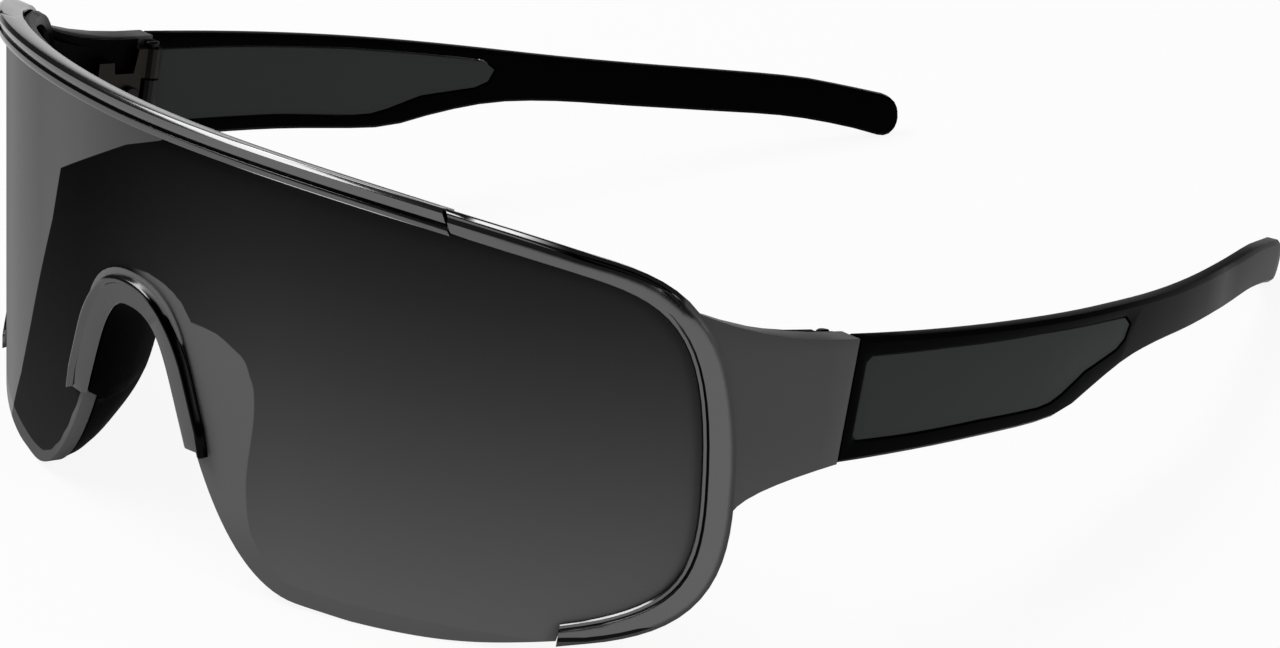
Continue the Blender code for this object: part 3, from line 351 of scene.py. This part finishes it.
lens_half_arc = 0.0735
brow_rise, brow_fall, brow_bend = 0.02125, 0.44, 2.47
corner_arc = lens_half_arc - 0.0132
rim_side = Vector((lens_half_arc, -0.0095))
rim_end = Vector((lens_half_arc - 0.0142, -0.0263))
corner_pull, above_side_pull, below_side_pull = 0.0099, 0.0185, 0.0109
end_pull = Vector((0.0113, 0.0032))
brow_steps, bend_points = 30, 20


def brow_height(arc):
    return brow_rise * (1 - brow_fall * (abs(arc) / lens_half_arc) ** brow_bend)


def rim_line():
    """The edge of the lens that shows beside the cover, from the brow round to the cover's end."""
    arcs = [corner_arc * step / brow_steps for step in range(brow_steps + 1)]
    brow = [Vector((arc, brow_height(arc))) for arc in arcs]
    slope = (brow[-1] - brow[-2]).normalized()
    corner_hold = brow[-1] + corner_pull * slope
    above_side = rim_side + Vector((0, above_side_pull))
    below_side = rim_side - Vector((0, below_side_pull))
    upper = interpolate_bezier(brow[-1], corner_hold, above_side, rim_side, bend_points)
    lower = interpolate_bezier(rim_side, below_side, rim_end + end_pull, rim_end, bend_points)
    return brow + [Vector(point) for point in upper[1:]] + [Vector(point) for point in lower[1:]]


rim = rim_line()
rim_reach = [0.0]
for low, high in zip(rim, rim[1:]):
    rim_reach.append(rim_reach[-1] + (high - low).length)

brow_width, side_width = 0.00255, 0.0037
widening = ((0.0, 0.0), (0.5, 0.0), (0.62, 0.6), (0.75, 1.0), (0.88, 0.85), (1.0, 0.0))


def rim_width(share):
    low, high = next((low, high) for low, high in zip(widening, widening[1:]) if share <= high[0])
    wide = low[1] + (high[1] - low[1]) * (share - low[0]) / (high[0] - low[0])
    return brow_width + (side_width - brow_width) * wide


def nearest_on(line, spot):
    """The gap from the nearest place on a line, and the step and share of a step that it is at."""
    nearest = None
    for index, (low, high) in enumerate(zip(line, line[1:])):
        step = high - low
        share = min(max((spot - low).dot(step) / step.dot(step), 0.0), 1.0)
        gap = spot - low - step * share
        if nearest is None or gap.length < nearest[0].length:
            nearest = (gap, step, index, share)
    return nearest


def beside_rim(arc, height):
    """Distance outwards from the edge of the lens, the share of the way along, and the way out."""
    gap, step, index, share = nearest_on(rim, Vector((abs(arc), height)))
    away = Vector((-step.y, step.x))
    along = (rim_reach[index] + share * step.length) / rim_reach[-1]
    return math.copysign(gap.length, gap.dot(away)), along, away.normalized()


def smooth(value, low, high):
    share = min(max((value - low) / (high - low), 0.0), 1.0)
    return share * share * (3 - 2 * share)


def reshape(value, table):
    """Reads a value through a table of old and new values, in a straight line between them."""
    for (low, new_low), (high, new_high) in zip(table, table[1:]):
        if value <= high:
            return new_low + (new_high - new_low) * max(value - low, 0.0) / (high - low)
    return value


def note(piece, name, values):
    """Keeps one number at each corner of the piece, for its material to read."""
    piece.data.attributes.new(name, "FLOAT", "POINT").data.foreach_set("value", values)


def pushed(arc, height, away, distance):
    return arc + math.copysign(away.x, arc) * distance, height + away.y * distance


brow_lift = 0.00033
lift_ends = (0.42, 0.6)


def lifted(arc, height, out, across, along, away):
    """A place on the brow, moved up by what its top edge stands higher in the finished trim."""
    lift = brow_lift * (1 - smooth(along, *lift_ends)) * smooth(across, 0.0012, 0.0018)
    return off_wrap(*pushed(arc, height, away, lift), out)


lip_from, lip_to = 0.00008, 0.00078
lip_heights = (
    (0.0, 0.0006), (0.00017, 0.00098), (0.0005, 0.00119), (0.00065, 0.00125), (0.0008, 0.0013))
shoulder_reach = 0.00073
shoulder_heights = ((0.0, 0.00045), (0.000175, 0.0008), (0.00042, 0.00112), (0.00071, 0.0013))
end_from, end_growth = 0.97, 0.00045


def cover_corner(point):
    """The lip by the lens is flush along the brow, and the ridge above is a rounded shoulder."""
    arc, height, out = on_wrap(point)
    across, along, away = beside_rim(arc, height)
    from_top = rim_width(along) - across
    on_brow = 1 - smooth(along, 0.58, 0.66)
    if out > 0.0004 and lip_from < across < lip_to:
        out += (reshape(across, lip_heights) - out) * on_brow
    elif out > 0.0009 and from_top < shoulder_reach:
        from_top = max(from_top, 0.0)
        out += (reshape(from_top, shoulder_heights) - out) * on_brow
        shift = from_top * (0.45 - 0.4 * smooth(along, 0.38, 0.54)) * on_brow
        arc, height = pushed(arc, height, away, shift)
    if along > end_from:
        arc -= math.copysign(end_growth * smooth(along, end_from, 1.0), arc)
    return lifted(arc, height, out, across, along, away)


not_matt = 9
covers = []
for name in ("left_rim_cover", "right_rim_cover"):
    cover = moulded(
        name, "front", rounding=0.00007, sharp=25, moved=cover_corner)
    edges, tops, arcs = [], [], []
    for corner in cover.data.vertices:
        arc, height, _ = on_wrap(corner.co)
        across, along, _ = beside_rim(arc, height)
        on_side = smooth(along, 0.55, 0.6)
        edges.append((rim_width(along) - across) * 1000 + not_matt * (1 - on_side))
        top = rim_width(along) + brow_lift * (1 - smooth(along, *lift_ends))
        tops.append((top - across) * 1000)
        arcs.append(arc * 1000)
    note(cover, "inside_edge", edges)
    note(cover, "from_top", tops)
    note(cover, "arc", arcs)
    covers.append(cover)


def noted(start, name):
    return start.node("ShaderNodeAttribute", {"attribute_name": name}, {}, "Fac")


def gunmetal(name, matt=None, black=None, bright=None, level=1.0, matt_level=0.056):
    """Metallised plastic. Masks make it matt, paint dark reflections and shade black, or paint
    edge highlights.
    """
    material, start, place = new_material(name)
    cloud = mottled(start, place, 35.0, 2.0)
    speck = mottled(start, place, 3000.0, 2.0)
    shade = cloud.into(0.108, 0.124) * level
    metal = 1.0
    rough = speck.into(0.13, 0.18)
    if matt:
        dull = matt(start)
        shade = shade * (1 - dull) + dull * cloud.into(0.95, 1.05) * matt_level
        metal = 1 - dull * 0.9
        rough = rough + dull * 0.25
    # Painted shade and painted dark reflections: the colour darkened nearly to black.
    if black:
        shade = shade * (1 - 0.95 * black(start))
    # Painted highlights: a bright, less metallic line of colour along an edge.
    if bright:
        painted_highlight = bright(start)
        shade = shade + painted_highlight * 0.75
        metal = (1 - painted_highlight) * metal
    surface(start, {
        "Base Color": colour(start, shade, shade * 1.01, shade),
        "Metallic": metal,
        "Roughness": rough,
        "Specular IOR Level": 0.1,
        "Specular Tint": grey(0.75),
        "Normal": uneven(start, speck, 0.015, 0.00003),
    })
    return material


def cover_painted_highlight(start):
    """A painted highlight: the thin bright line along the near brow, which dies out before the
    corner.
    """
    arc = noted(start, "arc")
    from_top = noted(start, "from_top")
    line = from_top.rise(0.1, 0.15) * (1 - from_top.rise(0.32, 0.38))
    return line * arc.rise(46.0, 47.5) * (1 - arc.rise(51.0, 58.0))


def cover_painted_dark_reflection(start):
    """A painted dark reflection of the room on the rounded shoulder under that line, which narrows
    at its end.
    """
    arc = noted(start, "arc")
    from_top = noted(start, "from_top")
    foot = 0.5 + arc.rise(44.0, 53.0) * 0.1 + arc.rise(53.0, 60.0) * 0.3
    foot = foot - arc.rise(60.0, 67.0) * 0.1 - arc.rise(67.0, 71.0) * 0.75
    above_foot = 1 - (from_top - foot).rise(-0.05, 0.05)
    return from_top.rise(0.3, 0.36) * above_foot * arc.rise(40.0, 43.0)


def lug_side(start):
    """The lug and the side outside the rim, which are matt."""
    return 1 - noted(start, "inside_edge").rise(0.15, 0.75)


cover_finish = gunmetal("gunmetal_cover", matt=lug_side, black=cover_painted_dark_reflection, bright=cover_painted_highlight)
for cover in covers:
    finish_with(cover, cover_finish)


# Brow trim
# A separate strip of the same metallised plastic that clips over the middle of the brow, with a
# narrow rounded rib beside the lens, a fine groove, a flat band and slanted ends.

rib_places = (
    (0.0, 0.0), (0.000275, 0.0002), (0.00055, 0.0005), (0.000825, 0.0009), (0.0011, 0.00097),
    (0.00113, 0.001), (0.00252, 0.00244), (0.00256, 0.0026))
rib_width, rib_foot, rib_share = 0.00105, 0.0011, 0.2
top_from, top_sink = 0.00254, 0.00015


def trim_corner(point):
    """The rib is lower and narrower than in the solid, and the top edge lies a little back."""
    arc, height, out = on_wrap(point)
    across, along, away = beside_rim(arc, height)
    if out > 0.0005 and across > 0:
        shift = reshape(across, rib_places) - across
        arc, height = pushed(arc, height, away, shift)
        if across < rib_width and out > rib_foot:
            out = rib_foot + (out - rib_foot) * rib_share
        elif across > top_from:
            out -= top_sink
    return lifted(arc, height, out, across, along, away)


# Painted shade: the rib beside the lens is darkened a little.
def rib_painted_shade(start):
    return (1 - noted(start, "across").rise(0.9, 0.98)) * 0.15


def trim_painted_highlights(start):
    """Painted highlights: the bright lines along both edges of the strip, on the near side of the
    nose.
    """
    arc = noted(start, "arc")
    across = noted(start, "across")
    edges = across.rise(2.83, 2.89) + (1 - across.rise(0.06, 0.14))
    return edges * arc.rise(16.0, 22.0) * (1 - arc.rise(35.0, 42.0))


trim = moulded(
    "brow_trim", "front", rounding=0.00005, sharp=25, moved=trim_corner)
crosses, arcs = [], []
for corner in trim.data.vertices:
    arc, height, _ = on_wrap(corner.co)
    crosses.append(beside_rim(arc, height)[0] * 1000)
    arcs.append(arc * 1000)
note(trim, "across", crosses)
note(trim, "arc", arcs)
finish_with(trim, gunmetal("gunmetal_brow", black=rib_painted_shade, bright=trim_painted_highlights, level=1.1))


# Nose arch
# A metallised arch clipped on the lens round the nose cut-out: a flat band along the cut-out and a
# polished rib beside it, which ends in a small rounded foot on each side.

arch_half, arch_peak, arch_drop, arch_width = 0.0098, -0.0012, 0.0143, 0.0043
arch_points = 40
arch_holds = (
    Vector((0, arch_peak)),
    Vector((0.53 * arch_half, arch_peak)),
    Vector((0.62 * arch_half, arch_peak - 0.32 * arch_drop)),
    Vector((arch_half, arch_peak - arch_drop)),
)
arch_line = [Vector(point) for point in interpolate_bezier(*arch_holds, arch_points)]
arch_shares = (
    (0.0, 1.0, 0.6, 0.9, 0.6, 0.85), (0.35, 1.02, 0.446, 0.92, 0.6, 0.82),
    (0.6, 0.93, 0.384, 0.96, 0.71, 0.97), (1.0, 0.88, 0.4, 0.97, 0.71, 0.98))
rib_base, arch_rib_share = 0.0009, 0.55


def beside_arch(arc, height):
    """Distance from the arch's inner edge, the share of the way down, and the way out."""
    gap, step, index, share = nearest_on(arch_line, Vector((abs(arc), height)))
    return gap.length, (index + share) / arch_points, Vector((-step.y, step.x)).normalized()


def arch_sizes(share):
    """The band's width there, and where the rib's inner and outer edges lie and are moved to."""
    share = min(share, 1.0)
    low, high = next(
        (low, high) for low, high in zip(arch_shares, arch_shares[1:]) if share <= high[0])
    part = (share - low[0]) / (high[0] - low[0])
    wide, *rest = [a + (b - a) * part for a, b in zip(low[1:], high[1:])]
    return [arch_width * wide] + [arch_width * wide * value for value in rest]


def arch_corner(point):
    """The rib stands lower and nearer to the arch's outer edge than in the solid."""
    arc, height, out = on_wrap(point)
    across, share, away = beside_arch(arc, height)
    wide, low, high, new_low, new_high = arch_sizes(share)
    shift = reshape(across, ((0.0, 0.0), (low, new_low), (high, new_high), (wide, wide))) - across
    if out > 0.00088:
        out = rib_base + (out - rib_base) * arch_rib_share
    if across < wide:
        arc, height = pushed(arc, height, away, shift)
    return off_wrap(arc, height, out)


# Painted dark reflection: the rib is painted black on the near side of the nose.
def arch_rib_painted_dark_reflection(start):
    return noted(start, "rib").rise(0.35, 0.65)


def arch_strip(start):
    return noted(start, "strip")


arch = moulded(
    "nose_bridge_trim", "front", rounding=0.00006, sharp=40, moved=arch_corner)
rib_painted_reflections, strips = [], []
for corner in arch.data.vertices:
    arc, height, _ = on_wrap(corner.co)
    across, share, _ = beside_arch(arc, height)
    new_low, new_high = arch_sizes(share)[3:]
    # The rib's painted dark reflection is full on the near leg, weaker at the top and absent on
    # the far side.
    side = smooth(arc, 0.0036, 0.0056) * 0.58 + 0.42 * smooth(arc, -0.003, 0.0)
    strip = smooth(across, new_high - 0.00002, new_high + 0.00008)
    strip *= 1 - smooth(share, 0.45, 0.55)
    rib_painted_reflections.append(smooth(across, new_low, new_low + 0.00012) * side * (1 - strip))
    strips.append(strip)
note(arch, "rib", rib_painted_reflections)
note(arch, "strip", strips)
arch_finish = gunmetal(
    "gunmetal_arch", matt=arch_strip, black=arch_rib_painted_dark_reflection, level=0.76, matt_level=0.14)
finish_with(arch, arch_finish)


# Shield lens
# One sheet of polycarbonate bent round the face, dyed darker at the brow than at the cheeks, with
# painted shade darkening it towards its far side. A mirror coat covers its outer end. Lighter
# painted reflections lie beside the nose and along the bottom on the near side, round the top of
# the nose arch, and along the lower edge on the far side.

front_skin, back_skin = -0.00001, -0.00199

lens = moulded("shield_lens", "front", rounding=0.00012, sharp=40)
normals = []
faces = lens.data
own = [Vector(corner.vector) for corner in faces.corner_normals]
for corner in faces.loops:
    arc, _, out = on_wrap(faces.vertices[corner.vertex_index].co)
    turn = arc / wrap_radius
    straight = lean @ Vector((math.sin(turn), -math.cos(turn), 0))
    if out > front_skin:
        normals.append(straight)
    elif out < back_skin:
        normals.append(-straight)
    else:
        normals.append(own[corner.index])
faces.normals_split_custom_set(normals)


def wrap_wires(start, place):
    """Arc and height on the wrap of a place on a piece, in millimetres."""
    local = start.node(
        "ShaderNodeMapping",
        {"vector_type": "TEXTURE"},
        {0: place, 1: wrap_middle, 2: (wrap_lean, 0, 0), 3: (0.001, 0.001, 0.001)},
    )
    radius = wrap_radius * 1000
    back = radius - part_of(start, local, "Y")
    return part_of(start, local, "X").math("ARCTAN2", back) * radius, part_of(start, local, "Z")


lens_foot, lens_height, far_arc = -31, 52, -75
dye_tones = ((0.0, 0.122), (0.2, 0.094), (0.4, 0.067), (0.6, 0.043), (0.8, 0.0245), (1.0, 0.0115))
near_reach, near_height = 60, 31.8
near_border = (
    (0.0, 1.0), (0.066, 1.0), (0.075, 0.49), (0.104, 0.402), (0.145, 0.367), (0.217, 0.337),
    (0.289, 0.323), (0.440, 0.317), (0.610, 0.327), (0.742, 0.332), (0.833, 0.323), (0.915, 0.295),
    (0.965, 0.233), (0.975, 0.167), (0.985, 0.0))
sill_foot, sill_reach = 35, 25
sill_border = (
    (0.0, 1.0), (0.147, 0.82), (0.167, 0.696), (0.195, 0.56), (0.225, 0.44), (0.259, 0.344),
    (0.297, 0.28), (0.339, 0.256), (0.433, 0.256), (0.6, 0.28), (0.8, 0.36))
arch_arc, arch_reach = 12, 4
arch_border = (
    (0.0, 0.875), (0.125, 0.9), (0.233, 0.9), (0.475, 0.775), (0.608, 0.6), (0.717, 0.375),
    (0.833, 0.0))
mirror_foot, mirror_height, mirror_from, mirror_reach = -33, 54, 45, 50
mirror_border = (
    (0.0, 0.06), (0.204, 0.238), (0.367, 0.338), (0.519, 0.418), (0.667, 0.496), (0.802, 0.546),
    (0.885, 0.726), (0.946, 0.858), (0.991, 0.992))
mirror_weights = (
    (0.0, 1.0), (0.101, 0.97), (0.165, 0.93), (0.239, 0.78), (0.327, 0.54), (0.38, 0.49),
    (0.449, 0.43), (0.527, 0.37), (0.589, 0.27), (0.66, 0.15), (1.0, 0.04))

material, start, place = new_material("smoke_lens_painted_reflections")
arc, height = wrap_wires(start, place)
# Painted reflections: lighter zones beside the nose and along the bottom on the near side, along
# the lower edge on the far side, and round the top of the nose arch.
near = height.curve(lens_foot, near_height, near_border, "CARDINAL") * near_reach
near = (near - arc.math("ABSOLUTE")).rise(-0.1, 0.15)
near = near * (1 - height.rise(-0.3, 0.1)) * arc.rise(-2.0, 2.0)
sill = arc.curve(0, far_arc, sill_border, "CARDINAL") * sill_reach - sill_foot
sill = (sill - height).rise(-0.05, 0.1) * (1 - arc.rise(-11.0, -10.0))
round_arch = arc.curve(0, arch_arc, arch_border, "CARDINAL") * arch_reach
round_arch = (round_arch - height).rise(-0.1, 0.1) * height.rise(-0.5, -0.3) * (1 - near)
round_arch = round_arch * arc.rise(-1.0, 2.5) * (1 - arc.rise(9.7, 10.0))
mirror = height.curve(mirror_foot, mirror_height, mirror_border) * mirror_reach - mirror_from
mirror = (mirror - arc).rise(-0.1, 0.12) * arc.curve(0, far_arc, mirror_weights)
# The smoke tint darkens towards the top, and painted shade darkens the lens towards its far side.
dye_and_far_shade = height.curve(lens_foot, lens_height, dye_tones) * arc.rise(-14.0, 27.0).into(0.23, 1.0)
# The tone of the painted reflections, a little lighter towards the top.
clear = height.rise(-28.0, -20.0).into(0.106, 0.127)
level = start.node("ShaderNodeMix", {}, {"Factor": near + sill + round_arch, 2: dye_and_far_shade, 3: clear})
surface(start, {
    "Base Color": colour(start, level, level, level * 1.01),
    "Roughness": mottled(start, place, 900.0, 1.0).into(0.05, 0.08),
    "Specular IOR Level": 0.0,
    "Coat Weight": mirror,
    "Coat Roughness": 0.03,
    "Coat Tint": (0.93, 0.97, 1.0, 1),
})
finish_with(lens, material)


# Nose saddle
# A soft black rubber moulding pressed over the edge of the nose cut-out, matt with a fine grain.

saddle = moulded("nose_pad", "front", rounding=0.00015, sharp=50)
material, start, place = new_material("black_rubber_matt")
grain = mottled(start, place, 2600.0, 3.0)
surface(start, {
    "Base Color": grey(0.0006),
    "Roughness": grain.into(0.6, 0.8),
    "Specular IOR Level": 0.01,
    "Normal": uneven(start, grain, 0.2, 0.0001),
})
finish_with(saddle, material)


# Arm windows
# A smoke grey plastic insert is moulded into each arm and shows on both of its faces, satin.

material, start, place = new_material("smoke_window_satin")
grain = mottled(start, place, 3000.0, 2.0)
level = mottled(start, place, 45.0, 1.0).into(0.0305, 0.0345)
surface(start, {
    "Base Color": colour(start, level * 0.93, level * 1.04, level),
    "Roughness": grain.into(0.45, 0.55),
    "Specular IOR Level": 0.02,
    "Normal": uneven(start, grain, 0.15, 0.00005),
})
for name, body in (("left_temple_window", "left_arm"), ("right_temple_window", "right_arm")):
    finish_with(moulded(name, body, rounding=0.00025), material)


# Hinges and screws
# The frame's hinge leaves and their knuckles are dull steel strip, browned and dark. The parts in
# the arms, the pins and the small screws are blackened steel.


def hinge_finish(name, tones):
    material, start, place = new_material(name)
    drawn = start.node("ShaderNodeMapping", {}, {0: place, 3: (1.0, 1.0, 14.0)})
    lines = mottled(start, drawn, 900.0, 3.0)
    bright = lines.into(0.7, 1.25)
    surface(start, {
        "Base Color": colour(start, *[bright * tone for tone in tones]),
        "Metallic": 1.0,
        "Roughness": lines.into(0.3, 0.42),
        "Normal": uneven(start, lines, 0.12, 0.00005),
    })
    return material


browned = hinge_finish("browned_hinge_leaf", (0.016, 0.0148, 0.0125))
blackened = hinge_finish("blackened_hinge_steel", (0.014, 0.014, 0.014))
for name, node in nodes.items():
    if name.endswith("frame_hinge"):
        node.material_slots[0].material = browned
    elif "hinge" in name or "screw" in name:
        node.material_slots[0].material = blackened
